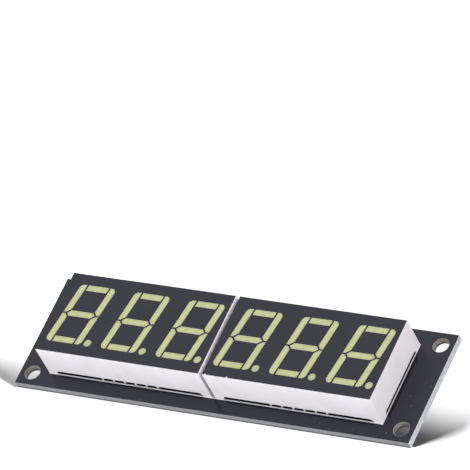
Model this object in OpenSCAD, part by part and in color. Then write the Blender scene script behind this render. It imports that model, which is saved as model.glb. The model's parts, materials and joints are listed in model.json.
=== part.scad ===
// Six-digit seven-segment display module.
// Two three-digit LED displays stand side by side on one circuit board. The driver chip, its small
// parts and a right-angle pin header are on the underside.
// Frame: the origin is the centre of the mounting-hole pattern on the board's underside, +X runs
// along the digits to the right, +Y to the top of the digits, and +Z out of the display face.

/* [Circuit board] */
// Thickness of the board
board_t = 1.6; // [1:0.2:2.4]
// Board beyond the left display
left_margin = 6.6; // [5.5:0.1:20]
// Board beyond the right display
right_margin = 7.1; // [5.5:0.1:20]
// Board beyond the displays along each long edge
long_margin = 3.45; // [2.85:0.05:8]
// Diameter of the corner mounting holes
hole_d = 3.3; // [2.2:0.1:3.6]
// Distance from a hole's centre to the board's short edge
hole_inset_x = 2.8; // [2.4:0.1:3.2]
// Distance from a hole's centre to the board's long edge
hole_inset_y = 2.9; // [2.4:0.1:4]

/* [Display bodies] */
// Width of one display
display_w = 19.1; // [17:0.1:22]
// Height of a display's face above the board
display_h = 8; // [6.6:0.1:12]
// Gap between the two displays
display_gap = 0.9; // [0.1:0.1:3]
// Thickness of the display body's side walls
wall_t = 0.8; // [0.6:0.05:1]
// Distance from the side of the last digit, at its middle, to the end of the display
end_space = 1.95; // [1.6:0.05:4]
// Size of a light well at its back, as a share of the segment's size
well_taper = 0.75; // [0.6:0.01:0.9]
// Chamfer round the display body's face
face_chamfer = 0.05; // [0.03:0.01:0.3]

/* [Feet and slots] */
// Height of the corner feet, which is the height of the slots between them
foot_h = 0.95; // [0.6:0.05:1.4]
// Length of a foot along the wall, at the board
foot_l = 1.7; // [1.2:0.1:3]
// How much longer a foot is at the top of the slot
foot_flare = 0.7; // [0:0.1:1.5]
// Width of the thin ribs that cross the long slots
rib_w = 0.25; // [0.15:0.05:0.6]
// Thickness of the ribs through the wall
rib_t = 0.4; // [0.2:0.05:0.6]

/* [Digits] */
// Height of a digit
digit_h = 14.2; // [11:0.1:16]
// Width of a digit, measured level
digit_w = 8.4; // [6.8:0.1:10]
// Gap between one digit and the next, measured level
digit_gap = 4.3; // [3.5:0.1:8]
// Slant of the digits in degrees
slant = 8; // [0:0.5:10]
// Width of the three level segments
bar_w = 1.44; // [1:0.02:1.8]
// Width of the four upright segments, measured level
upright_w = 1.52; // [1:0.02:1.8]
// Gap between neighbouring segments
segment_gap = 0.26; // [0.2:0.02:0.6]
// Distance from the digit's side in to the tip of the middle segment
tip_inset = 0.96; // [0.8:0.02:1.2]
// Radius of the digit's four outer corners
corner_r = 1; // [0.3:0.05:1.2]
// Diameter of the decimal point
point_d = 1.7; // [1:0.05:1.9]
// Gap between the digit and its decimal point, measured level
point_gap = 0.45; // [0.3:0.05:1]
// How far the decimal point reaches below the foot of the digit
point_drop = 0.15; // [-0.5:0.05:0.4]

/* [Face film] */
// Thickness of the black film on the face
film_t = 0.1; // [0.05:0.01:0.2]

/* [Display inside] */
// Thickness of the potting resin that seals the display from behind
potting_t = 1.35; // [0.8:0.05:2]
// Thickness of the board that carries the LED dies
substrate_t = 1; // [0.6:0.1:1.2]
// Clearance round that board
substrate_clear = 0.1; // [0.05:0.01:0.3]
// Side of an LED die
die_w = 0.35; // [0.2:0.05:0.5]
// Height of an LED die
die_h = 0.2; // [0.1:0.05:0.3]

/* [Display pins] */
// Number of pins in each of the two rows
pins_per_row = 6; // [4:1:7]
// Distance from pin to pin, and from header pin to header pin
pin_pitch = 2.54; // [2:0.02:2.54]
// Distance from the display's long side in to a row of pins
pin_inset = 1.93; // [1.3:0.01:2.5]
// Diameter of a display pin
pin_d = 0.5; // [0.4:0.01:0.6]
// Clearance round a pin in the pieces that it passes through
pin_clear = 0.02; // [0.01:0.01:0.05]
// Length of pin that stands out below the board
pin_tail = 1.8; // [1.2:0.1:2.2]
// Diameter of the plated holes for the pins
pin_hole_d = 0.9; // [0.8:0.05:1.2]
// Diameter of a solder joint at the board
joint_d = 1.7; // [1.4:0.05:2]
// Height of a solder joint
joint_h = 1; // [0.5:0.05:1.1]

/* [Driver chip] */
// Number of leads on each side
chip_leads = 10; // [8:1:12]
// Distance from lead to lead
lead_pitch = 1.27; // [1:0.01:1.4]
// Width of a lead
lead_w = 0.4; // [0.3:0.02:0.5]
// Thickness of a lead
lead_t = 0.25; // [0.15:0.01:0.3]
// Distance that a lead reaches out from the body
lead_reach = 1.4; // [1.15:0.05:2]
// Length of a lead's foot on the board
lead_foot = 0.75; // [0.5:0.05:0.9]
// Length of a lead's level stretch beside the body
lead_shoulder = 0.35; // [0.2:0.05:0.45]
// Body beyond the middle of the last lead
chip_end = 0.685; // [0.5:0.005:1.2]
// Width of the chip's body
chip_w = 7.5; // [6:0.1:8]
// Height of the chip's body
chip_h = 2.3; // [1.6:0.05:2.4]
// Gap between the chip's body and the board
chip_standoff = 0.15; // [0.1:0.01:0.3]
// Slope of the moulded sides in degrees
chip_draft = 7; // [2:0.5:12]
// Diameter of the dimple that marks the first lead
dimple_d = 1.2; // [0.6:0.1:1.6]
// Depth of the dimple
dimple_depth = 0.15; // [0.05:0.05:0.3]
// Distance from the dimple's middle to the two nearest sides of the body
dimple_inset = 1.4; // [1.2:0.1:2]

/* [Pin header] */
// Number of header pins
header_count = 4; // [3:1:5]
// Thickness of the square header pins
header_pin_w = 0.64; // [0.5:0.01:0.7]
// Depth of the header's insulator
header_d = 2.5; // [2:0.05:2.7]
// Height of the header's insulator
header_h = 2.54; // [2.2:0.02:2.8]
// Corner cut between the insulator's cells
header_cut = 0.5; // [0.2:0.05:0.7]
// Distance from the insulator's outer face in to the board's upper long edge
header_edge = 2.9; // [2:0.1:4]
// Free length of the pins beyond the insulator
header_reach = 5.9; // [4:0.1:6.2]
// Distance from the insulator to the bend of the pins
header_bend = 0.9; // [0.5:0.05:1.2]
// Length of a header pin's foot on the board, from the bend
header_foot = 1.5; // [1:0.1:2]
// Length of the taper at a header pin's two tips
header_taper = 0.6; // [0.2:0.05:0.9]

/* [Small parts] */
// Length of a small chip part
small_l = 1.6; // [1.2:0.1:1.8]
// Width of a small chip part
small_w = 0.8; // [0.5:0.05:1]
// Height of a small resistor
resistor_h = 0.45; // [0.3:0.05:0.6]
// Height of a small capacitor
capacitor_h = 0.8; // [0.5:0.05:0.9]
// Length of a small part's end cap
small_end = 0.3; // [0.2:0.05:0.4]
// Gap between neighbouring small parts
small_space = 1.8; // [1.4:0.1:2]
// Gap from the row of small parts to the leads on either side
small_gap = 1.3; // [1:0.1:1.8]
// Length of the supply capacitor
bulk_l = 3.2; // [2:0.1:3.6]
// Width of the supply capacitor
bulk_w = 1.6; // [1.2:0.1:2]
// Height of the supply capacitor
bulk_h = 1.2; // [0.8:0.1:1.6]
// Length of the supply capacitor's end cap
bulk_end = 0.5; // [0.3:0.05:0.7]
// Gap between the chip's end and the supply capacitor
bulk_gap = 2.2; // [1.5:0.1:3]
// Length of a surface solder fillet
fillet_l = 0.4; // [0.2:0.05:0.6]
// Share of an end cap's height that the solder climbs
solder_climb = 0.7; // [0.3:0.05:1]

/* [Hidden] */

$fn = 48;
arc_steps = 10;
overrun = 1;

function slanted(p) = [p[0] + p[1] * tan(slant), p[1]];

// Places along a row of so many things, even steps apart about its middle
function row_places(count, step) = [for (i = [0:count - 1]) (i - (count - 1) / 2) * step];

// Lines of the digit before it is slanted, and its decimal point
half_h = digit_h / 2;
half_w = digit_w / 2;
inner_x = half_w - upright_w;
tip_x = half_w - tip_inset;
notch_x = tip_x + segment_gap * sqrt(2);
point_r = point_d / 2;
point = slanted([half_w + point_gap + point_r, point_r - half_h - point_drop]);

// Outlines of the displays and the board, and the places of the displays and digits
digit_x = row_places(3, digit_w + digit_gap);
display_l = 2 * (max(digit_x) + half_w + end_space);
display_shift = (left_margin - right_margin) / 2;
display_x = [for (x = row_places(2, display_l + display_gap)) x + display_shift];
cavity_l = display_l - 2 * wall_t;
cavity_w = display_w - 2 * wall_t;
board_l = 2 * display_l + display_gap + left_margin + right_margin;
board_w = display_w + 2 * long_margin;

// Heights above the board's top
potting_top = foot_h + potting_t;
cavity_top = potting_top + substrate_t;
body_top = display_h - film_t;
well_depth = body_top - cavity_top;

// Places of the pins
pin_bore_d = pin_d + 2 * pin_clear;
pin_x = row_places(pins_per_row, pin_pitch);
pin_places = [for (row = [-1, 1], x = pin_x) [x, row * (display_w / 2 - pin_inset)]];

// Places of the parts on the underside, from the header across to the chip
header_x = row_places(header_count, pin_pitch);
header_outer_y = board_w / 2 - header_edge;
header_middle_y = header_outer_y - header_d / 2;
header_bend_y = header_outer_y - header_d - header_bend;
header_toe_y = header_bend_y - header_foot;
small_y = header_toe_y - small_gap - small_l / 2;
small_x = row_places(5, small_w + small_space);
resistor_x = [for (i = [0, 1]) small_x[i]];
capacitor_x = [for (i = [2:4]) small_x[i]];
resistor_size = [small_l, small_w, resistor_h];
capacitor_size = [small_l, small_w, capacitor_h];
bulk_size = [bulk_l, bulk_w, bulk_h];
chip_x = row_places(chip_leads, lead_pitch);
chip_l = 2 * (max(chip_x) + chip_end);
toe_y = chip_w / 2 + lead_reach;
chip_y = small_y - small_l / 2 - small_gap - toe_y;
parting_z = chip_standoff + chip_h / 2;
bulk_x = chip_l / 2 + bulk_gap + bulk_w / 2;

function unit(v) = v / norm(v);
function turn(a) = a > 180 ? a - 360 : a < -180 ? a + 360 : a;

// Arc that rounds corner b between the edges to a and to c
function corner_arc(a, b, c, r) =
    let (
        u = unit(a - b),
        v = unit(c - b),
        half = acos(u * v) / 2,
        centre = b + unit(u + v) * r / sin(half),
        from = b + u * r / tan(half) - centre,
        to = b + v * r / tan(half) - centre,
        start = atan2(from[1], from[0]),
        sweep = turn(atan2(to[1], to[0]) - start)
    )
    [
        for (i = [0:arc_steps])
            let (angle = start + sweep * i / arc_steps)
            centre + r * [cos(angle), sin(angle)]
    ];

// Outline through [x, y, radius] corners, slanted as the digits are
function slanted_outline(corners) =
    let (n = len(corners), p = [for (c = corners) slanted(c)])
    [
        for (i = [0:n - 1])
            each (corners[i][2] > 0
                ? corner_arc(p[(i + n - 1) % n], p[i], p[(i + 1) % n], corners[i][2])
                : [p[i]])
    ];

// Corners of the three kinds of segment, as [x, y, radius]
function level_corners(y) = [
    for (s = [[-1, -1], [1, -1], [1, 1], [-1, 1]])
        [s[0] * (inner_x - segment_gap), y + s[1] * bar_w / 2, 0]
];
function middle_corners() = [
    for (s = [[-1, 0], [-1, -1], [1, -1], [1, 0], [1, 1], [-1, 1]])
        [s[0] * (tip_x - abs(s[1]) * bar_w / 2), s[1] * bar_w / 2, 0]
];
function upright_corners(side, end) = [
    [side * half_w, end * segment_gap / 2, 0],
    [side * (notch_x - segment_gap / 2), end * segment_gap / 2, 0],
    [side * inner_x, end * (notch_x - inner_x), 0],
    [side * inner_x, end * half_h, 0],
    [side * half_w, end * half_h, corner_r]
];

// The seven segments, each as [middle, outline]
function segment(middle, corners) = [slanted(middle), slanted_outline(corners)];
level_y = half_h - bar_w / 2;
upright_x = (half_w + inner_x) / 2;
upright_y = (half_h + segment_gap / 2) / 2;
SEGMENTS = concat(
    [for (y = [-level_y, level_y]) segment([0, y], level_corners(y))],
    [segment([0, 0], middle_corners())],
    [
        for (side = [-1, 1], end = [-1, 1])
            segment([side * upright_x, end * upright_y], upright_corners(side, end))
    ]
);

// Outline of a ribbon of even thickness along an open path
function left_normal(a, b) = let (d = unit(b - a)) [-d[1], d[0]];
function mitre(path, i) =
    let (
        last = len(path) - 1,
        before = left_normal(path[max(i - 1, 0)], path[max(i, 1)]),
        after = left_normal(path[min(i, last - 1)], path[min(i + 1, last)])
    )
    (before + after) / (1 + before * after);
function ribbon(path, t) =
    let (last = len(path) - 1)
    concat(
        [for (i = [0:last]) path[i] + mitre(path, i) * t / 2],
        [for (i = [last:-1:0]) path[i] - mitre(path, i) * t / 2]
    );

module on_display(side) {
    translate([display_x[side], 0, board_t]) children();
}

module under_board(x, y) {
    translate([x, y, 0]) mirror([0, 0, 1]) children();
}

// Extrudes a profile drawn in Y and Z along X, from its middle
module along_x(length) {
    rotate([90, 0, 90]) linear_extrude(length, center = true) children();
}

// Extrudes a profile drawn in X and Z along Y, from its middle
module along_y(length) {
    rotate([90, 0, 0]) linear_extrude(length, center = true) children();
}

module box(l, w, h) {
    linear_extrude(h) square([l, w], center = true);
}

// Circuit board
module circuit_board() {
    color([0.2, 0.2, 0.24])
    linear_extrude(board_t)
    difference() {
        square([board_l, board_w], center = true);
        for (x = [-1, 1] * (board_l / 2 - hole_inset_x), y = [-1, 1] * (board_w / 2 - hole_inset_y))
            translate([x, y]) circle(d = hole_d);
        for (x = display_x, p = pin_places)
            translate([x + p[0], p[1]]) circle(d = pin_hole_d);
    }
}

// One light well, from the body's top down; reach carries its mouth on above the top
module segment_well(segment, reach = 0) {
    middle = segment[0];
    outline = [for (p = segment[1]) p - middle];
    translate([middle[0], middle[1], body_top]) {
        mirror([0, 0, 1]) linear_extrude(well_depth, scale = well_taper) polygon(outline);
        if (reach > 0) linear_extrude(reach) polygon(outline);
    }
}

module point_well(reach = 0) {
    translate([point[0], point[1], cavity_top]) {
        cylinder(h = well_depth, d1 = point_d * well_taper, d2 = point_d);
        if (reach > 0) translate([0, 0, well_depth]) cylinder(h = reach, d = point_d);
    }
}

// Slot between two feet: a trapezoid in the wall's own plane
module slot_profile(length) {
    half = length / 2 - foot_l;
    polygon([[-half, 0], [half, 0], [half - foot_flare, foot_h], [-half + foot_flare, foot_h]]);
}

module chamfered_profile(length) {
    half = length / 2;
    polygon([
        [-half, 0], [half, 0],
        [half, body_top - face_chamfer], [half - face_chamfer, body_top],
        [-half + face_chamfer, body_top], [-half, body_top - face_chamfer]
    ]);
}

module housing_shell() {
    difference() {
        intersection() {
            along_x(display_l) chamfered_profile(display_w);
            along_y(display_w) chamfered_profile(display_l);
        }
        translate([0, 0, -overrun]) box(cavity_l, cavity_w, cavity_top + overrun);
        along_x(display_l + overrun) slot_profile(display_w);
        along_y(display_w + overrun) slot_profile(display_l);
        for (x = digit_x) translate([x, 0, 0]) {
            for (segment = SEGMENTS) segment_well(segment, overrun);
            point_well(overrun);
        }
    }
}

// Thin ribs in line with the pins, halfway through the two long walls
module slot_ribs() {
    for (side = [-1, 1], x = pin_x)
        translate([x, side * (display_w - wall_t) / 2, 0]) box(rib_w, rib_t, foot_h);
}

module housing(side) {
    color([0.88, 0.87, 0.88])
    on_display(side) {
        housing_shell();
        slot_ribs();
    }
}

// Black film with a window over each well
module face_film(side) {
    color([0.22, 0.22, 0.26])
    on_display(side)
    translate([0, 0, body_top])
    linear_extrude(film_t)
    difference() {
        square([display_l - 2 * face_chamfer, display_w - 2 * face_chamfer], center = true);
        for (x = digit_x) translate([x, 0]) {
            for (segment = SEGMENTS) polygon(segment[1]);
            translate(point) circle(d = point_d);
        }
    }
}

module led_die(place) {
    translate([place[0], place[1], cavity_top]) box(die_w, die_w, die_h);
}

// Resin fillings of one digit's seven wells
module digit_segments(number) {
    color([0.78, 0.8, 0.6])
    on_display(floor(number / len(digit_x)))
    translate([digit_x[number % len(digit_x)], 0, 0])
    for (segment = SEGMENTS)
        difference() {
            segment_well(segment);
            led_die(segment[0]);
        }
}

// Resin fillings of the three round wells
module decimal_points(side) {
    color([0.72, 0.74, 0.59])
    on_display(side)
    for (x = digit_x) translate([x, 0, 0])
        difference() {
            point_well();
            led_die(point);
        }
}

module led_dies(side) {
    color([0.75, 0.7, 0.35])
    on_display(side)
    for (x = digit_x) translate([x, 0, 0]) {
        for (segment = SEGMENTS) led_die(segment[0]);
        led_die(point);
    }
}

module pin_bores() {
    for (p = pin_places) translate(p) circle(d = pin_bore_d);
}

// Board that carries the dies and closes the wells from behind
module led_board(side) {
    color([0.75, 0.72, 0.55])
    on_display(side)
    translate([0, 0, potting_top])
    linear_extrude(substrate_t)
    difference() {
        square([cavity_l - 2 * substrate_clear, cavity_w - 2 * substrate_clear], center = true);
        pin_bores();
    }
}

module potting(side) {
    color([0.85, 0.84, 0.74])
    on_display(side)
    translate([0, 0, foot_h])
    linear_extrude(potting_t)
    difference() {
        square([cavity_l, cavity_w], center = true);
        pin_bores();
    }
}

module display_pins(side) {
    tip_z = -board_t - pin_tail;
    color([0.78, 0.78, 0.76])
    on_display(side)
    for (p = pin_places)
        translate([p[0], p[1], tip_z]) cylinder(h = cavity_top - tip_z, d = pin_d);
}

// Solder that fills a plated hole and rises in a hollow cone round the pin's tail
module pin_joint() {
    inner = pin_bore_d / 2;
    rise = joint_d / 2 - inner - pin_clear;
    rotate_extrude()
    polygon(concat(
        [[inner, -board_t], [pin_hole_d / 2, -board_t], [pin_hole_d / 2, 0]],
        [
            for (a = [0:15:90])
                [joint_d / 2 - rise * sin(a), joint_h * (1 - cos(a))]
        ],
        [[inner, joint_h]]
    ));
}

module pin_joints(side) {
    color([0.72, 0.73, 0.74])
    for (p = pin_places)
        under_board(display_x[side] + p[0], p[1]) pin_joint();
}

// Moulded body with sloped sides above and below a level band where the leads leave it
module chip_profile(width) {
    half = width / 2;
    band = lead_t / 2;
    rise = chip_h / 2;
    inset = (rise - band) * tan(chip_draft);
    translate([0, parting_z])
    polygon([
        [-half + inset, -rise], [half - inset, -rise], [half, -band], [half, band],
        [half - inset, rise], [-half + inset, rise], [-half, band], [-half, -band]
    ]);
}

module driver_chip_body() {
    dimple_bottom = chip_standoff + chip_h - dimple_depth;
    color([0.15, 0.15, 0.16])
    under_board(0, chip_y)
    difference() {
        intersection() {
            along_x(chip_l) chip_profile(chip_w);
            along_y(chip_w) chip_profile(chip_l);
        }
        translate([dimple_inset - chip_l / 2, dimple_inset - chip_w / 2, dimple_bottom])
            cylinder(h = overrun, d = dimple_d);
    }
}

// Gull-wing lead on the +Y side
module chip_lead() {
    path = [
        [chip_w / 2, parting_z],
        [chip_w / 2 + lead_shoulder, parting_z],
        [toe_y - lead_foot, lead_t / 2],
        [toe_y, lead_t / 2]
    ];
    along_x(lead_w) polygon(ribbon(path, lead_t));
}

module at_chip_leads() {
    under_board(0, chip_y)
    for (side = [0, 1], x = chip_x)
        mirror([0, side, 0]) translate([x, 0, 0]) children();
}

module driver_chip_leads() {
    color([0.78, 0.78, 0.78])
    at_chip_leads() chip_lead();
}

module at_header_pins() {
    for (x = header_x) under_board(x, 0) children();
}

// Insulator with cut corners on each cell and a square hole for each pin
module header_insulator() {
    half = pin_pitch / 2;
    color([0.12, 0.12, 0.13])
    difference() {
        at_header_pins()
        translate([0, header_middle_y, 0])
        along_y(header_d)
        polygon([
            [-half, header_cut], [-half + header_cut, 0], [half - header_cut, 0], [half, header_cut],
            [half, header_h - header_cut], [half - header_cut, header_h],
            [-half + header_cut, header_h], [-half, header_h - header_cut]
        ]);
        at_header_pins()
        translate([0, header_middle_y, 0])
        along_y(header_d + overrun)
        translate([0, header_h / 2]) square(header_pin_w, center = true);
    }
}

// Straight arm with a tapered tip, as a profile from y = start to y = tip about z = level
module tapered_arm(start, tip, level) {
    half = header_pin_w / 2;
    polygon([
        [start, level - half], [tip - header_taper, level - half], [tip, level - half / 2],
        [tip, level + half / 2], [tip - header_taper, level + half], [start, level + half]
    ]);
}

// Pin that leaves the insulator level, turns down to the board and ends in a flat foot
module header_pin() {
    tip = header_outer_y + header_reach;
    level = header_h / 2;
    drop = [
        [header_bend_y, level + header_pin_w / 2],
        [header_bend_y, header_pin_w / 2],
        [header_toe_y, header_pin_w / 2]
    ];
    intersection() {
        along_x(header_pin_w) {
            tapered_arm(header_bend_y - header_pin_w / 2, tip, level);
            polygon(ribbon(drop, header_pin_w));
        }
        linear_extrude(header_h) rotate(90) tapered_arm(header_toe_y, tip, 0);
    }
}

module header_pins() {
    color([0.83, 0.72, 0.42])
    at_header_pins() header_pin();
}

// Chip parts lie along Y; size is [length, width, height] and end the length of an end cap
module part_body(size, end) {
    box(size[1], size[0] - 2 * end, size[2]);
}

module part_ends(size, end) {
    for (side = [-1, 1]) translate([0, side * (size[0] - end) / 2, 0]) box(size[1], end, size[2]);
}

module resistor_bodies() {
    color([0.1, 0.1, 0.11])
    for (x = resistor_x) under_board(x, small_y) part_body(resistor_size, small_end);
}

module resistor_ends() {
    color([0.8, 0.8, 0.8])
    for (x = resistor_x) under_board(x, small_y) part_ends(resistor_size, small_end);
}

module capacitor_bodies() {
    color([0.66, 0.54, 0.4])
    {
        for (x = capacitor_x) under_board(x, small_y) part_body(capacitor_size, small_end);
        under_board(bulk_x, chip_y) part_body(bulk_size, bulk_end);
    }
}

module capacitor_ends() {
    color([0.8, 0.8, 0.8])
    {
        for (x = capacitor_x) under_board(x, small_y) part_ends(capacitor_size, small_end);
        under_board(bulk_x, chip_y) part_ends(bulk_size, bulk_end);
    }
}

// Fillet against an upright face at y = 0, falling away along +Y
module solder_fillet(width, height) {
    along_x(width) polygon([[0, 0], [fillet_l, 0], [0, height]]);
}

module end_fillets(size) {
    for (side = [0, 1])
        mirror([0, side, 0]) translate([0, size[0] / 2, 0])
            solder_fillet(size[1], size[2] * solder_climb);
}

module surface_solder() {
    color([0.72, 0.73, 0.74])
    {
        at_chip_leads() translate([0, toe_y, 0]) solder_fillet(lead_w, lead_t);
        at_header_pins() translate([0, header_toe_y, 0])
            mirror([0, 1, 0]) solder_fillet(header_pin_w, header_pin_w);
        for (x = resistor_x) under_board(x, small_y) end_fillets(resistor_size);
        for (x = capacitor_x) under_board(x, small_y) end_fillets(capacitor_size);
        under_board(bulk_x, chip_y) end_fillets(bulk_size);
    }
}

circuit_board();
housing(0);  // left_housing
housing(1);  // right_housing
face_film(0);  // left_face_film
face_film(1);  // right_face_film
digit_segments(0);  // digit_1_segments
digit_segments(1);  // digit_2_segments
digit_segments(2);  // digit_3_segments
digit_segments(3);  // digit_4_segments
digit_segments(4);  // digit_5_segments
digit_segments(5);  // digit_6_segments
decimal_points(0);  // left_decimal_points
decimal_points(1);  // right_decimal_points
led_board(0);  // left_led_board
led_board(1);  // right_led_board
led_dies(0);  // left_led_dies
led_dies(1);  // right_led_dies
potting(0);  // left_potting
potting(1);  // right_potting
display_pins(0);  // left_display_pins
display_pins(1);  // right_display_pins
pin_joints(0);  // left_pin_joints
pin_joints(1);  // right_pin_joints
driver_chip_body();
driver_chip_leads();
header_insulator();
header_pins();
resistor_bodies();
resistor_ends();
capacitor_bodies();
capacitor_ends();
surface_solder();
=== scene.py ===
"""Looks of a six-digit seven-segment display module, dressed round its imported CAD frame."""
import json
import math

import bpy
import bmesh
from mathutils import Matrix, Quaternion, Vector


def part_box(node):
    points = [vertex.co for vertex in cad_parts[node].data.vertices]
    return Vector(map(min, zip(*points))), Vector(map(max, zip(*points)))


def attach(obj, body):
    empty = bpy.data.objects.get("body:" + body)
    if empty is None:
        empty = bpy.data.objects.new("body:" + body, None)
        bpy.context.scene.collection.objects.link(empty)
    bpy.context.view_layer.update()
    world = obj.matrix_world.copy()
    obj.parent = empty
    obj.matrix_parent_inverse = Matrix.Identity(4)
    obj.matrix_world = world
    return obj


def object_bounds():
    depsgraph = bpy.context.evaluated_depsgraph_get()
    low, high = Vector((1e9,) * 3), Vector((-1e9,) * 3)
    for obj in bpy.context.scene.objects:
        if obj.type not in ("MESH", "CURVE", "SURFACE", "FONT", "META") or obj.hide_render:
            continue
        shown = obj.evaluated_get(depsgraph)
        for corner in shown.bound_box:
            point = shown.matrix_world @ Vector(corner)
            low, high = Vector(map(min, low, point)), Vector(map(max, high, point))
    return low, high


MM = 0.001
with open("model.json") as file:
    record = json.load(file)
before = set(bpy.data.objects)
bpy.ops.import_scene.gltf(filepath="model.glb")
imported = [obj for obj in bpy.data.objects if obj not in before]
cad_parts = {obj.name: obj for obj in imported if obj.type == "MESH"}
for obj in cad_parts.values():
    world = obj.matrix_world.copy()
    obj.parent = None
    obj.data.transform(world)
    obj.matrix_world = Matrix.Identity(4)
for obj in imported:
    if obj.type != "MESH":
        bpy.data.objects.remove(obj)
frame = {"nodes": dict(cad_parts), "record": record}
NODES = frame["nodes"]
CAD_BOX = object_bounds()

# Camera: its place, the point it looks at, its roll and its lens
CAMERA_PLACE = Vector((624.77, -571.16, 907.10)) * MM
CAMERA_AIM = Vector((-14.15, 29.98, 0)) * MM
CAMERA_ROLL = math.radians(29.51)
CAMERA_LENS = 484.6
SENSOR = 36

# Sizes read from the frame
BOARD_LOW, BOARD_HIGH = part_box("circuit_board")
FLOOR_Z = CAD_BOX[0].z
DISPLAYS = [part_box(side + "_housing") for side in ("left", "right")]
DIMS = frame["record"]["mounts"][0]["dims"]
HOLE_X = DIMS["spacing_x_mm"] / 2 * MM
HOLE_Y = DIMS["spacing_y_mm"] / 2 * MM
HOLE_R = DIMS["hole_r_mm"] * MM

# Thickness of the printed and plated layers on the board
INK_T = 0.02 * MM
COPPER_T = 0.035 * MM
MASK_T = 0.03 * MM


# Shader building

def srgb(red, green, blue):
    """A colour given as the 0 to 255 values that it shows on a screen."""
    def linear(value):
        share = value / 255
        return share / 12.92 if share <= 0.04045 else ((share + 0.055) / 1.055) ** 2.4
    return (linear(red), linear(green), linear(blue), 1)


def grey(level):
    return (level, level, level, 1)


class Nodes:
    """Short calls that add nodes to a material or a world. Lengths are in metres."""

    def __init__(self, owner):
        owner.use_nodes = True
        self.owner = owner
        self.tree = owner.node_tree
        self.coords = self.add("TexCoord")

    def feed(self, socket, value):
        if isinstance(value, bpy.types.NodeSocket):
            self.tree.links.new(value, socket)
        else:
            socket.default_value = value

    def add(self, kind, inputs=None, **properties):
        node = self.tree.nodes.new("ShaderNode" + kind)
        for name, value in properties.items():
            setattr(node, name, value)
        for name, value in (inputs or {}).items():
            self.feed(node.inputs[name], value)
        return node

    def math(self, operation, a, b=0.0):
        return self.add("Math", {0: a, 1: b}, operation=operation).outputs[0]

    def mix(self, share, a, b):
        """Colour a, turning into b as share goes from 0 to 1."""
        node = self.add("Mix", {0: share, 6: a, 7: b}, data_type="RGBA")
        return node.outputs[2]

    def span(self, value, low, high, to_low=0.0, to_high=1.0, smooth=False):
        """Value's range from low to high, carried over to to_low and to_high."""
        node = self.add("MapRange", {0: value, 1: low, 2: high, 3: to_low, 4: to_high})
        if smooth:
            node.interpolation_type = "SMOOTHSTEP"
        return node.outputs[0]

    def axis(self, index, source="Object"):
        node = self.add("SeparateXYZ", {0: self.coords.outputs[source]})
        return node.outputs[index]

    def seen(self):
        """1 where a backdrop shows: to the camera, in a mirror or through glass. Otherwise 0."""
        path = self.add("LightPath")
        share = self.math("MAXIMUM", path.outputs["Is Camera Ray"], path.outputs["Is Glossy Ray"])
        return self.math("MAXIMUM", share, path.outputs["Is Transmission Ray"])


class Shader(Nodes):
    """One material with its grain, paler edges and relief."""

    def __init__(self, name, color, roughness, **inputs):
        super().__init__(bpy.data.materials.new(name))
        self.bsdf = self.tree.nodes["Principled BSDF"]
        self.surface(**{"Base Color": color, "Roughness": roughness}, **inputs)

    def surface(self, **inputs):
        for name, value in inputs.items():
            self.feed(self.bsdf.inputs[name], value)

    def place(self, stretch=(1, 1, 1)):
        """Position on the object, stretched along its axes."""
        node = self.add("Mapping", {"Vector": self.coords.outputs["Object"], "Scale": stretch})
        return node.outputs[0]

    def noise(self, size, detail=2.0, stretch=(1, 1, 1), roughness=0.5):
        """Noise whose grains are about size across, from 0 to 1."""
        node = self.add("TexNoise", {"Vector": self.place(stretch), "Scale": 1 / size, "Detail": detail,
                                     "Roughness": roughness})
        return node.outputs[0]

    def cells(self, size):
        """Distance, as a share of size, to the nearest of scattered points about size apart."""
        node = self.add("TexVoronoi", {"Vector": self.place(), "Scale": 1 / size})
        return node.outputs["Distance"]

    def rounded(self, radius):
        return self.add("Bevel", {"Radius": radius}, samples=6).outputs[0]

    def edges(self, radius):
        """1 at an edge and 0 further in than radius."""
        geometry = self.add("NewGeometry")
        dot = self.add("VectorMath", {0: self.rounded(radius), 1: geometry.outputs["Normal"]},
                       operation="DOT_PRODUCT")
        return self.span(dot.outputs["Value"], 1.0, 0.75, smooth=True)

    def relief(self, height, depth, radius=None):
        """Bump of that depth, over edges rounded to radius."""
        node = self.add("Bump", {"Height": height, "Distance": depth, "Strength": 1.0})
        if radius:
            self.feed(node.inputs["Normal"], self.rounded(radius))
        self.surface(Normal=node.outputs[0])


# The board's finish: where the mask starts and is full round a hole, how far past a hole's radius its own
# laminate goes, heights over the underside between which a hole's wall and a long edge turn lighter, the
# glass weave, and the dust
MASK_FROM = 0.03 * MM
MASK_FULL = 0.08 * MM
HOLE_REACH = 0.2 * MM
WALL_SHADE = (BOARD_LOW.z + 0.2 * MM, BOARD_LOW.z + 0.9 * MM)
EDGE_SHADE = (BOARD_LOW.z + 0.2 * MM, BOARD_LOW.z + 0.75 * MM)
WEAVE_PITCH = 0.55 * MM
DUST_APART = 1.8 * MM
DUST_SHARE = 0.055


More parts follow.
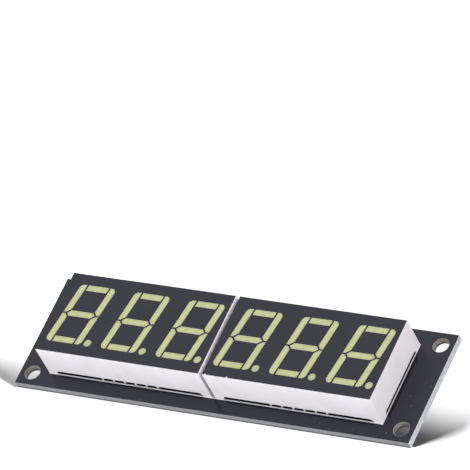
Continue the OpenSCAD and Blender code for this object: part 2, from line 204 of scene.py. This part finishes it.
def board_material():
    """Black solder mask with a few specks of dust on the faces, bare glass-epoxy laminate on the cut edges
    and round the holes, with painted shade darkening the hole walls and long edges towards the underside."""
    s = Shader("board_mask_and_laminate", srgb(16, 17, 28), 0.3)
    on_face = s.math("GREATER_THAN", s.math("ABSOLUTE", s.axis(2, "Normal")), 0.5)
    on_end = s.math("ABSOLUTE", s.axis(0, "Normal"))
    on_side = s.math("ABSOLUTE", s.axis(1, "Normal"))
    level = s.axis(2)

    away = s.add("VectorMath", {0: s.coords.outputs["Object"]}, operation="ABSOLUTE")
    away = s.add("VectorMath", {0: away.outputs[0], 1: (HOLE_X, HOLE_Y, 0)}, operation="SUBTRACT")
    away = s.add("VectorMath", {0: away.outputs[0], 1: (1, 1, 0)}, operation="MULTIPLY")
    away = s.add("VectorMath", {0: away.outputs[0]}, operation="LENGTH").outputs["Value"]
    masked = s.math("MULTIPLY", on_face, s.span(away, HOLE_R + MASK_FROM, HOLE_R + MASK_FULL))
    in_hole = s.math("LESS_THAN", away, HOLE_R + HOLE_REACH)

    threads = [s.math("SINE", s.math("MULTIPLY", s.axis(i), 2 * math.pi / WEAVE_PITCH)) for i in (0, 1)]
    weave = s.math("MULTIPLY", *threads)
    mottle = s.noise(6 * MM, detail=3)
    mask = s.mix(s.span(mottle, 0.3, 0.7), srgb(9, 11, 26), srgb(15, 17, 35))
    dust = s.math("LESS_THAN", s.cells(DUST_APART), DUST_SHARE)
    mask = s.mix(s.math("MULTIPLY", dust, 0.65), mask, srgb(136, 136, 140))

    layers = s.noise(0.16 * MM, detail=4, stretch=(0.12, 0.12, 1.6), roughness=0.7)
    speckle = s.noise(0.35 * MM, detail=4, roughness=0.7)
    laminate = s.mix(s.span(layers, 0.35, 0.65), srgb(114, 115, 119), srgb(144, 145, 149))
    laminate = s.mix(s.math("MULTIPLY", s.span(speckle, 0.55, 0.75), 0.5), laminate, srgb(188, 189, 196))
    sawn = s.mix(s.span(speckle, 0.4, 0.6), srgb(178, 180, 189), srgb(216, 218, 226))
    laminate = s.mix(s.math("MULTIPLY", on_end, 0.85), laminate, sawn)
    drilled = s.mix(s.span(layers, 0.4, 0.6), srgb(76, 72, 68), srgb(156, 151, 147))
    # Painted shade: each hole's wall is darker towards the underside.
    deep = s.span(level, *WALL_SHADE, 0.75, 0.0, smooth=True)
    drilled = s.mix(deep, drilled, srgb(58, 50, 40))
    drilled = s.mix(on_face, drilled, srgb(172, 169, 166))
    laminate = s.mix(in_hole, laminate, drilled)
    # Painted shade: the long edges are darker towards the underside.
    foot = s.span(level, *EDGE_SHADE, 1.0, 0.0, smooth=True)
    laminate = s.mix(s.math("MULTIPLY", foot, on_side), laminate, srgb(64, 64, 68))

    color = s.mix(masked, laminate, mask)
    roughness = s.span(masked, 0, 1, 0.62, 0.27)
    height = s.math("ADD", s.math("MULTIPLY", weave, 0.15), s.noise(0.25 * MM, detail=3))
    s.surface(**{"Base Color": color, "Roughness": roughness})
    s.relief(height, 0.004 * MM, 0.06 * MM)
    return s.owner


def housing_material():
    """White moulded plastic with a fine spark-eroded skin, and a painted highlight along its edges."""
    s = Shader("white_moulded_plastic", srgb(238, 235, 237), 0.42, **{"Specular IOR Level": 0.4})
    cloud = s.noise(5 * MM, detail=2)
    color = s.mix(s.span(cloud, 0.35, 0.65), srgb(235, 232, 237), srgb(240, 238, 244))
    # Painted highlight: the edges are lighter.
    color = s.mix(s.edges(0.24 * MM), color, srgb(253, 253, 254))
    s.surface(**{"Base Color": color, "Roughness": s.span(s.noise(0.8 * MM), 0.3, 0.7, 0.36, 0.5)})
    s.relief(s.noise(0.09 * MM, detail=3), 0.004 * MM, 0.08 * MM)
    return s.owner


# Chips in the right film's front edge: place from its left end and radius of each, and how far in they sit
FILM_CHIPS = ((0.7 * MM, 0.2 * MM), (5.6 * MM, 0.24 * MM))
FILM_CHIP_IN = 0.12 * MM


def film_material():
    """Matt black print film with a fine grain, and two small chips in the right one's front edge."""
    s = Shader("matt_black_film", srgb(39, 39, 49), 0.5, **{"Specular IOR Level": 0.37})
    low = DISPLAYS[1][0]
    chips = 0.0
    for along, radius in FILM_CHIPS:
        middle = (low.x + along, low.y + FILM_CHIP_IN, CAD_BOX[1].z)
        apart = s.add("VectorMath", {0: s.coords.outputs["Object"], 1: middle}, operation="DISTANCE")
        ragged = s.math("ADD", apart.outputs["Value"], s.math("MULTIPLY", s.noise(0.2 * MM), 0.1 * MM))
        chips = s.math("MAXIMUM", chips, s.math("LESS_THAN", ragged, radius))
    cloud = s.noise(9 * MM, detail=3)
    color = s.mix(s.span(cloud, 0.3, 0.7), srgb(36, 36, 46), srgb(42, 42, 52))
    color = s.mix(chips, color, srgb(232, 230, 232))
    s.surface(**{"Base Color": color, "Roughness": s.span(s.noise(0.5 * MM), 0.3, 0.7, 0.44, 0.56)})
    s.relief(s.noise(0.05 * MM, detail=2), 0.003 * MM)
    return s.owner


def resin_material(name, deep, pale):
    """Diffusing resin, paler where it meets the wall of its well: a painted highlight."""
    s = Shader(name, deep, 0.38, **{"Specular IOR Level": 0.35})
    color = s.mix(s.span(s.noise(1.0 * MM, detail=3), 0.35, 0.65, 0.0, 0.3), deep, pale)
    # Painted highlight: the rim of each segment is paler.
    color = s.mix(s.math("MULTIPLY", s.edges(0.42 * MM), 0.9), color, pale)
    s.surface(**{"Base Color": color})
    s.relief(s.noise(0.12 * MM, detail=3), 0.005 * MM, 0.12 * MM)
    return s.owner


def metal_material(name, color, worn, roughness, grain, depth):
    """Bare or plated metal with a cloudy surface."""
    s = Shader(name, color, roughness, Metallic=1.0)
    cloud = s.noise(grain * 6, detail=3)
    s.surface(**{
        "Base Color": s.mix(s.span(cloud, 0.3, 0.7), color, worn),
        "Roughness": s.span(s.noise(grain * 2), 0.3, 0.7, roughness - 0.08, roughness + 0.12),
    })
    s.relief(s.noise(grain, detail=3), depth, 0.05 * MM)
    return s.owner


def moulded_material(name, color, pale, roughness, grain, depth, radius):
    """Filled plastic, glaze or ceramic: a grain of fine specks over a plain colour."""
    s = Shader(name, color, roughness)
    specks = s.span(s.cells(grain * 1.5), 0.0, 0.5, 1.0, 0.0, smooth=True)
    color = s.mix(s.math("MULTIPLY", specks, 0.5), color, pale)
    # Paler towards the edges.
    color = s.mix(s.math("MULTIPLY", s.edges(radius * 1.5), 0.35), color, pale)
    s.surface(**{
        "Base Color": color,
        "Roughness": s.span(s.noise(grain * 5), 0.3, 0.7, roughness - 0.06, roughness + 0.08),
    })
    s.relief(s.noise(grain, detail=3), depth, radius)
    return s.owner


def ink_material():
    """White printed ink, slightly thin and uneven."""
    s = Shader("white_print", srgb(214, 214, 216), 0.55)
    thin = s.span(s.noise(0.3 * MM, detail=4, roughness=0.7), 0.35, 0.75)
    s.surface(**{"Base Color": s.mix(thin, srgb(216, 216, 219), srgb(243, 243, 245))})
    s.relief(s.noise(0.1 * MM), 0.004 * MM)
    return s.owner


def track_material():
    """Solder mask over copper: the board's black, a little lighter and smoother."""
    s = Shader("mask_over_copper", srgb(43, 44, 52), 0.24)
    mottle = s.span(s.noise(3 * MM), 0.3, 0.7)
    s.surface(**{"Base Color": s.mix(mottle, srgb(38, 39, 47), srgb(48, 49, 58))})
    s.relief(s.noise(0.3 * MM), 0.003 * MM, 0.04 * MM)
    return s.owner


TINNED = metal_material("tinned_wire", srgb(214, 213, 208), srgb(188, 187, 182), 0.3, 0.08 * MM,
                        0.002 * MM)
SOLDER = metal_material("bright_solder", srgb(206, 208, 212), srgb(176, 178, 184), 0.24, 0.2 * MM,
                        0.006 * MM)
GOLD = metal_material("gold_flash", srgb(232, 198, 118), srgb(214, 176, 96), 0.26, 0.08 * MM,
                      0.002 * MM)
INK = ink_material()
TRACK = track_material()

RESIN = resin_material("segment_resin", srgb(203, 210, 153), srgb(232, 234, 208))
POINT_RESIN = resin_material("point_resin", srgb(194, 202, 156), srgb(226, 230, 200))
EPOXY = moulded_material("black_epoxy", srgb(30, 30, 32), srgb(64, 64, 66), 0.55, 0.06 * MM, 0.006 * MM,
                         0.08 * MM)
NYLON = moulded_material("black_nylon", srgb(24, 24, 26), srgb(52, 52, 54), 0.45, 0.1 * MM, 0.004 * MM,
                         0.1 * MM)
GLAZE = moulded_material("black_glaze", srgb(22, 22, 25), srgb(46, 46, 50), 0.2, 0.12 * MM, 0.003 * MM,
                         0.05 * MM)
CERAMIC = moulded_material("tan_ceramic", srgb(176, 146, 110), srgb(198, 172, 138), 0.42, 0.08 * MM,
                           0.004 * MM, 0.05 * MM)
CARRIER = moulded_material("bare_laminate", srgb(196, 190, 160), srgb(214, 210, 186), 0.5, 0.2 * MM,
                           0.005 * MM, 0.05 * MM)
POTTING = moulded_material("cast_resin", srgb(222, 220, 204), srgb(236, 234, 222), 0.28, 0.5 * MM,
                           0.006 * MM, 0.1 * MM)
DIE = moulded_material("die", srgb(196, 184, 100), srgb(222, 212, 140), 0.3, 0.05 * MM, 0.001 * MM,
                       0.02 * MM)

FINISHES = {
    "circuit_board": board_material(),
    "housing": housing_material(),
    "face_film": film_material(),
    "segments": RESIN,
    "decimal_points": POINT_RESIN,
    "led_board": CARRIER,
    "led_dies": DIE,
    "potting": POTTING,
    "display_pins": TINNED,
    "pin_joints": SOLDER,
    "driver_chip_body": EPOXY,
    "driver_chip_leads": TINNED,
    "header_insulator": NYLON,
    "header_pins": GOLD,
    "resistor_bodies": GLAZE,
    "resistor_ends": SOLDER,
    "capacitor_bodies": CERAMIC,
    "capacitor_ends": SOLDER,
    "surface_solder": SOLDER,
}


def dress_frame():
    """Gives each CAD node the finish whose name its own name ends with."""
    for name, obj in NODES.items():
        kind = next(k for k in FINISHES if name.endswith(k))
        obj.data.materials.clear()
        obj.data.materials.append(FINISHES[kind])


# Mesh building

RING_STEPS = 32
CORNER_STEPS = 4


def arc(middle, radius, start, sweep, steps):
    """Points on an arc; angles are in degrees."""
    points = []
    for i in range(steps + 1):
        angle = math.radians(start + sweep * i / steps)
        points.append((middle[0] + radius * math.cos(angle), middle[1] + radius * math.sin(angle)))
    return points


def circle(middle, radius, steps=RING_STEPS):
    return arc(middle, radius, 0, 360, steps)[:-1]


def rectangle(low, high, radius=0.0):
    """Outline between two corners, with rounded corners if radius isn't 0."""
    if radius <= 0:
        return [low, (high[0], low[1]), high, (low[0], high[1])]
    corners = [
        ((low[0] + radius, low[1] + radius), 180), ((high[0] - radius, low[1] + radius), 270),
        ((high[0] - radius, high[1] - radius), 0), ((low[0] + radius, high[1] - radius), 90),
    ]
    return [p for middle, start in corners for p in arc(middle, radius, start, 90, CORNER_STEPS)]


def grown(low, high, by):
    return (low[0] - by, low[1] - by), (high[0] + by, high[1] + by)


def add_slab(bm, outer, low, high, inner=None):
    """A flat slab of an outline, or of the ring between two outlines with as many points."""
    loops = [outer] if inner is None else [outer, inner]
    rings = [[[bm.verts.new((x, y, z)) for x, y in loop] for z in (low, high)] for loop in loops]
    count = len(outer)
    for r, (bottom, top) in enumerate(rings):
        for i in range(count):
            j = (i + 1) % count
            side = [bottom[i], bottom[j], top[j], top[i]]
            bm.faces.new(side if r == 0 else side[::-1])
    if inner is None:
        bm.faces.new(rings[0][0][::-1])
        bm.faces.new(rings[0][1])
        return
    for level in (0, 1):
        out, hole = rings[0][level], rings[1][level]
        for i in range(count):
            j = (i + 1) % count
            cap = [out[i], out[j], hole[j], hole[i]]
            bm.faces.new(cap if level else cap[::-1])


def add_track(bm, path, width, low, high):
    """A flat strip of that width along a path of x, y points, with mitred bends."""
    points = [Vector(p) for p in path]
    left, right = [], []
    for i, point in enumerate(points):
        before = (point - points[i - 1]).normalized() if i else None
        after = (points[i + 1] - point).normalized() if i + 1 < len(points) else None
        before, after = before or after, after or before
        normals = [Vector((-d.y, d.x)) for d in (before, after)]
        mitre = (normals[0] + normals[1]) / (1 + normals[0].dot(normals[1]))
        left.append(tuple(point + mitre * width / 2))
        right.append(tuple(point - mitre * width / 2))
    for i in range(len(points) - 1):
        add_slab(bm, [right[i], right[i + 1], left[i + 1], left[i]], low, high)


def mesh_object(name, bm, *materials):
    """Makes an object of the mesh and puts it in the scene."""
    mesh = bpy.data.meshes.new(name)
    bm.normal_update()
    bm.to_mesh(mesh)
    bm.free()
    for material in materials:
        mesh.materials.append(material)
    obj = bpy.data.objects.new(name, mesh)
    bpy.context.scene.collection.objects.link(obj)
    return obj


def piece(name, bm, material):
    """Makes a piece of the part from the mesh, and lets it ride on the part."""
    obj = mesh_object(name, bm, material)
    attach(obj, "root")


def spread(low, high, count):
    """So many places at even steps from low to high, both ends included."""
    return [low + (high - low) * i / (count - 1) for i in range(count)]


# Pieces on the board's top

INK_W = 0.28 * MM
INK_PAST_X = 0.03 * MM
INK_PAST_Y = 0.17 * MM
INK_APART = 0.04 * MM
DOT_PLACE = (39.4 * MM, -11.4 * MM)
DOT_R = 0.065 * MM
DOT_STEPS = 12


def top_print():
    """A fine white outline that just shows round the foot of each display, and a dot near the front corner.
    In the gap between the displays the two outlines nearly meet."""
    bm = bmesh.new()
    low, high = BOARD_HIGH.z, BOARD_HIGH.z + INK_T
    inner = (DISPLAYS[1][0].x - DISPLAYS[0][1].x - INK_APART) / 2
    for (near, far), (west, east) in zip(DISPLAYS, ((INK_PAST_X, inner), (inner, INK_PAST_X))):
        outer = ((near.x - west, near.y - INK_PAST_Y), (far.x + east, far.y + INK_PAST_Y))
        add_slab(bm, rectangle(*outer), low, high, rectangle(*grown(*outer, -INK_W)))
    add_slab(bm, circle(DOT_PLACE, DOT_R, DOT_STEPS), low, high)
    piece("top_print", bm, INK)


# Pieces on the board's underside: sizes of the parts there

UNDER = BOARD_LOW.z
PIN_R = 0.25 * MM
PINS_A_ROW = 6
CHIP_LEADS = 10
LEAD_W = 0.4 * MM
HEADER_PINS = 4
HEADER_PIN_W = 0.64 * MM
SMALL_PARTS = 5
SMALL_W = 0.8 * MM
BULK_W = 1.6 * MM
BULK_L = 3.2 * MM

# Pads: how far one reaches in under its lead and out past it, its width and its rounded corners
PAD_R = 0.95 * MM
PAD_RING_W = 0.5 * MM
LEAD_PAD = {"under": 1.0 * MM, "past": 0.65 * MM, "radius": 0.08 * MM}
LEAD_PAD_W = 0.6 * MM
HEADER_PAD = {"under": 1.9 * MM, "past": 0.7 * MM, "radius": 0.15 * MM}
HEADER_PAD_W = 1.2 * MM
END_PAD = {"under": 0.45 * MM, "past": 0.6 * MM, "radius": 0.1 * MM}
END_PAD_SIDE = 0.1 * MM

# Tracks and vias
TRACE_W = 0.3 * MM
TRACE_PITCH = 0.55 * MM
TRACE_FROM_EDGE = 0.9 * MM
LOWER_BEND = 0.8 * MM
UPPER_BEND = 0.6 * MM
UPPER_DROP = 1.6 * MM
UPPER_VIA_X = 7.6 * MM
UPPER_VIA_STEP = 0.8 * MM
CHIP_STUB = 1.1 * MM
VIA_R = 0.3 * MM
VIA_BORE_R = 0.13 * MM
VIA_STEPS = 16

# Printed outlines
OUTLINE_W = 0.15 * MM
OUTLINE_APART = 0.35 * MM
SMALL_OUTLINE_IN = 0.1 * MM
CHIP_OUTLINE_APART = 0.5 * MM
CHIP_OUTLINE_IN = 0.2 * MM
CHIP_DOT_BACK = (0.6 * MM, 0.9 * MM)
CHIP_DOT_R = 0.3 * MM
CHIP_DOT_STEPS = 20


def pin_rows():
    """The displays' pins as x, y places: the left display's lower and upper row, then the right one's."""
    rows = []
    for side in ("left", "right"):
        low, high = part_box(side + "_display_pins")
        xs = spread(low.x + PIN_R, high.x - PIN_R, PINS_A_ROW)
        rows += [[(x, y) for x in xs] for y in (low.y + PIN_R, high.y - PIN_R)]
    return rows


def chip_lead_places():
    """The leads' x places on each side of the chip, and the y of their toes on the lower and upper side."""
    low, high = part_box("driver_chip_leads")
    return spread(low.x + LEAD_W / 2, high.x - LEAD_W / 2, CHIP_LEADS), low.y, high.y


def small_part_boxes():
    """Outline of each small part and of the supply capacitor."""
    ends_low, ends_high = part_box("resistor_ends")
    body_low, body_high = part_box("resistor_bodies")
    pitch = body_high.x - body_low.x - SMALL_W
    lefts = [body_low.x + i * pitch for i in range(SMALL_PARTS)]
    boxes = [((x, ends_low.y), (x + SMALL_W, ends_high.y)) for x in lefts]
    bulk_low, bulk_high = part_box("capacitor_ends")
    return boxes + [((bulk_high.x - BULK_W, bulk_low.y), (bulk_high.x, bulk_low.y + BULK_L))]


def add_pad(bm, left, right, end, way, under, past, radius):
    """A pad between two x places, below a lead or end cap whose end is at that y; way is its way out."""
    near, far = sorted((end - way * under, end + way * past))
    add_slab(bm, rectangle((left, near), (right, far), radius), UNDER - COPPER_T, UNDER)


def bottom_pads():
    """Tinned copper under the joints, leads and end caps."""
    bm = bmesh.new()
    for row in pin_rows():
        for place in row:
            add_slab(bm, circle(place, PAD_R), UNDER - COPPER_T, UNDER, circle(place, PAD_R - PAD_RING_W))
    xs, lower_toe, upper_toe = chip_lead_places()
    for x in xs:
        for toe, way in ((lower_toe, -1), (upper_toe, 1)):
            add_pad(bm, x - LEAD_PAD_W / 2, x + LEAD_PAD_W / 2, toe, way, **LEAD_PAD)
    low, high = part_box("header_pins")
    for x in spread(low.x + HEADER_PIN_W / 2, high.x - HEADER_PIN_W / 2, HEADER_PINS):
        add_pad(bm, x - HEADER_PAD_W / 2, x + HEADER_PAD_W / 2, low.y, -1, **HEADER_PAD)
    for near, far in small_part_boxes():
        for end, way in ((near[1], -1), (far[1], 1)):
            add_pad(bm, near[0] - END_PAD_SIDE, far[0] + END_PAD_SIDE, end, way, **END_PAD)
    piece("bottom_pads", bm, SOLDER)


def bottom_tracks():
    """Copper tracks and vias under the solder mask."""
    bm = bmesh.new()
    layer = (UNDER - MASK_T, UNDER)
    vias = []
    left_lower, left_upper, right_lower, right_upper = pin_rows()
    xs, lower_toe, upper_toe = chip_lead_places()
    half = CHIP_LEADS // 2
    for i in range(half):
        level = BOARD_LOW.y + TRACE_FROM_EDGE + i * TRACE_PITCH
        for pin, lead in ((left_lower[i + 1], xs[i]), (right_lower[half - 1 - i], xs[-1 - i])):
            bend = LOWER_BEND if lead > pin[0] else -LOWER_BEND
            path = [pin, (pin[0], level + LOWER_BEND), (pin[0] + bend, level), (lead - bend, level),
                    (lead, level + LOWER_BEND), (lead, lower_toe)]
            add_track(bm, path, TRACE_W, *layer)
    for x in xs:
        stub = upper_toe + CHIP_STUB
        add_track(bm, [(x, upper_toe), (x, stub)], TRACE_W, *layer)
        vias.append((x, stub))
    for i, (left, right) in enumerate(zip(left_upper[::-1], right_upper)):
        level = left[1] - UPPER_DROP - i * TRACE_PITCH
        for pin, way in ((left, 1), (right, -1)):
            inner = -way * (UPPER_VIA_X + i * UPPER_VIA_STEP)
            path = [pin, (pin[0], level + UPPER_BEND), (pin[0] + way * UPPER_BEND, level), (inner, level)]
            add_track(bm, path, TRACE_W, *layer)
            vias.append((inner, level))
    for place in vias:
        add_slab(bm, circle(place, VIA_R, VIA_STEPS), *layer, circle(place, VIA_BORE_R, VIA_STEPS))
    piece("bottom_tracks", bm, TRACK)


def bottom_print():
    """Printed outlines of the parts on the underside, and the dot at the chip's first lead."""
    bm = bmesh.new()
    layer = (UNDER - COPPER_T - INK_T, UNDER)
    low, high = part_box("driver_chip_body")
    for x, way in ((low.x, -1), (high.x, 1)):
        turn, edge = x - way * CHIP_OUTLINE_IN, x + way * CHIP_OUTLINE_APART
        path = [(turn, low.y), (edge, low.y), (edge, high.y), (turn, high.y)]
        add_track(bm, path, OUTLINE_W, *layer)
    dot = (low.x - CHIP_DOT_BACK[0], low.y - CHIP_DOT_BACK[1])
    add_slab(bm, circle(dot, CHIP_DOT_R, CHIP_DOT_STEPS), *layer)
    low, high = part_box("header_insulator")
    add_slab(bm, rectangle(*grown(low, high, OUTLINE_APART)), *layer,
             rectangle(*grown(low, high, OUTLINE_APART - OUTLINE_W)))
    for near, far in small_part_boxes():
        for x in (near[0] - OUTLINE_APART, far[0] + OUTLINE_APART):
            path = [(x, near[1] + SMALL_OUTLINE_IN), (x, far[1] - SMALL_OUTLINE_IN)]
            add_track(bm, path, OUTLINE_W, *layer)
    piece("bottom_print", bm, INK)


# Stage

# The floor: its colour to the part and to the camera, and its own light, from FLOOR_LIFT at GLOW_FROM to
# full at GLOW_FULL
FLOOR_HALF = 4.0
FLOOR_BOUNCE = 0.17
FLOOR_SEEN = 0.4
FLOOR_LIFT = 0.04
GLOW_FROM = -9.3 * MM
GLOW_FULL = 0.7 * MM
WORLD_LEVEL = 0.13

# The shade: corners of its block and ends of its screen, heights over the floor at which the screen starts,
# is at its most sheer and ends, and the light it lets through below and above
BLOCK_LOW = (-41.5 * MM, -11.1 * MM)
BLOCK_HIGH = (44.0 * MM, 13.0 * MM)
SCREEN_FAR = (-62.6 * MM, -6.5 * MM)
SCREEN_NEAR = (-48.0 * MM, -12.0 * MM)
SCREEN_FOOT = 0.2 * MM
SCREEN_EVEN = 1.5 * MM
SCREEN_H = 3.0 * MM
SCREEN_LOW = 0.18
SCREEN_HIGH = 0.58


def bare_nodes(name):
    """A new material of the stage, whose nodes have no surface yet."""
    n = Nodes(bpy.data.materials.new(name))
    n.tree.nodes.remove(n.tree.nodes["Principled BSDF"])
    return n


def finished(n, surface):
    """The material of those nodes, with its surface set."""
    n.feed(n.tree.nodes["Material Output"].inputs["Surface"], surface.outputs[0])
    return n.owner


def floor():
    """White floor that keeps the part's shadow in front, glows white further back and is clear from
    below."""
    n = bare_nodes("floor")
    seen = n.seen()
    white = n.mix(seen, grey(FLOOR_BOUNCE), grey(FLOOR_SEEN))
    glow = n.span(n.axis(1), GLOW_FROM, GLOW_FULL, FLOOR_LIFT, 1.0, smooth=True)
    glow = n.add("Emission", {"Strength": n.math("MULTIPLY", seen, glow)})
    matt = n.add("BsdfDiffuse", {"Color": white})
    lit = n.add("AddShader", {0: matt.outputs[0], 1: glow.outputs[0]})
    below = n.add("NewGeometry").outputs["Backfacing"]
    passing = n.math("MAXIMUM", below, n.add("LightPath").outputs["Is Shadow Ray"])
    clear = n.add("BsdfTransparent")
    both = n.add("MixShader", {0: passing, 1: lit.outputs[0], 2: clear.outputs[0]})

    bm = bmesh.new()
    corners = rectangle((-FLOOR_HALF, -FLOOR_HALF), (FLOOR_HALF, FLOOR_HALF))
    bm.faces.new([bm.verts.new((x, y, FLOOR_Z)) for x, y in corners])
    obj = mesh_object("floor", bm, finished(n, both))
    return obj


def sun(name, toward, elevation, level, softness, color=(1, 1, 1)):
    """A far lamp that stands in direction toward; level is what it adds to a white surface facing it. It
    isn't mirrored: what shines on the part shows the white surroundings."""
    data = bpy.data.lights.new(name, "SUN")
    data.energy = level * math.pi
    data.angle = math.radians(softness)
    data.color = color
    obj = bpy.data.objects.new(name, data)
    flat_way = Vector((toward[0], toward[1], 0)).normalized() * math.cos(math.radians(elevation))
    way = flat_way + Vector((0, 0, math.sin(math.radians(elevation))))
    obj.rotation_mode = "QUATERNION"
    obj.rotation_quaternion = way.to_track_quat("Z", "Y")
    obj.visible_glossy = False
    bpy.context.scene.collection.objects.link(obj)
    return obj


def shade():
    """What stands in the floor lamp's way in the board's place, and is seen by nothing else: a dark block
    that reaches the floor, so the shadow starts at the board's front right corner, and a sheer screen past
    its left end that lets more light through higher up."""
    bm = bmesh.new()
    add_slab(bm, rectangle(BLOCK_LOW, BLOCK_HIGH), FLOOR_Z, BOARD_HIGH.z)
    low, high = FLOOR_Z + SCREEN_FOOT, FLOOR_Z + SCREEN_H
    corners = ((SCREEN_FAR, low), (SCREEN_NEAR, low), (SCREEN_NEAR, high), (SCREEN_FAR, high))
    screen = bm.faces.new([bm.verts.new((*place, z)) for place, z in corners])
    screen.material_index = 1

    n = bare_nodes("block")
    dark = finished(n, n.add("BsdfTransparent", {"Color": grey(0)}))
    n = bare_nodes("screen")
    share = n.span(n.axis(2), low, FLOOR_Z + SCREEN_EVEN, SCREEN_LOW, SCREEN_HIGH)
    sheer = finished(n, n.add("BsdfTransparent", {"Color": share}))
    obj = mesh_object("shade", bm, dark, sheer)
    for ray in ("camera", "diffuse", "glossy", "transmission", "volume_scatter"):
        setattr(obj, "visible_" + ray, False)
    return obj


def light_links(name, objects, state):
    """A group that makes a lamp leave out those objects, or keep to them."""
    group = bpy.data.collections.new(name)
    for i, obj in enumerate(objects):
        group.objects.link(obj)
        group.collection_objects[i].light_linking.link_state = state
    return group


def lights(ground, block):
    """Soft lamps all round the part, and one for the floor alone, whose shadow falls to the right."""
    world = bpy.data.worlds.new("studio")
    bpy.context.scene.world = world
    n = Nodes(world)
    background = n.tree.nodes["Background"]
    background.inputs["Color"].default_value = grey(1)
    n.feed(background.inputs["Strength"], n.span(n.seen(), 0, 1, WORLD_LEVEL, 1.0))

    for lamp in (
        sun("key", (-0.25, -0.97), 18, 0.66, 45),
        sun("fill", (0.998, -0.06), 34, 0.84, 40, (1.0, 0.965, 0.955)),
        sun("back", (-0.3, 0.95), 15, 0.42, 30),
        sun("under", (0.5, -0.3), -80, 0.8, 60),
    ):
        stage = light_links(lamp.name + "_skips", (ground, block), "EXCLUDE")
        lamp.light_linking.receiver_collection = stage
        lamp.light_linking.blocker_collection = stage
    links = sun("floor_key", (-0.86, -0.51), 15, 9.7, 18).light_linking
    links.receiver_collection = light_links("floor_key_lights", (ground,), "INCLUDE")
    links.blocker_collection = light_links("floor_key_passes", (NODES["circuit_board"],), "EXCLUDE")


def camera():
    data = bpy.data.cameras.new("camera")
    data.lens = CAMERA_LENS
    data.sensor_width = SENSOR
    data.clip_start = 0.1
    data.clip_end = 20
    obj = bpy.data.objects.new("camera", data)
    obj.location = CAMERA_PLACE
    view = (CAMERA_AIM - CAMERA_PLACE).normalized()
    level = view.to_track_quat("-Z", "Y")
    obj.rotation_mode = "QUATERNION"
    obj.rotation_quaternion = Quaternion(view, CAMERA_ROLL) @ level
    bpy.context.scene.collection.objects.link(obj)
    bpy.context.scene.camera = obj


camera()
lights(floor(), shade())
dress_frame()
top_print()
bottom_pads()
bottom_tracks()
bottom_print()

bpy.context.scene.view_settings.view_transform = "Standard"
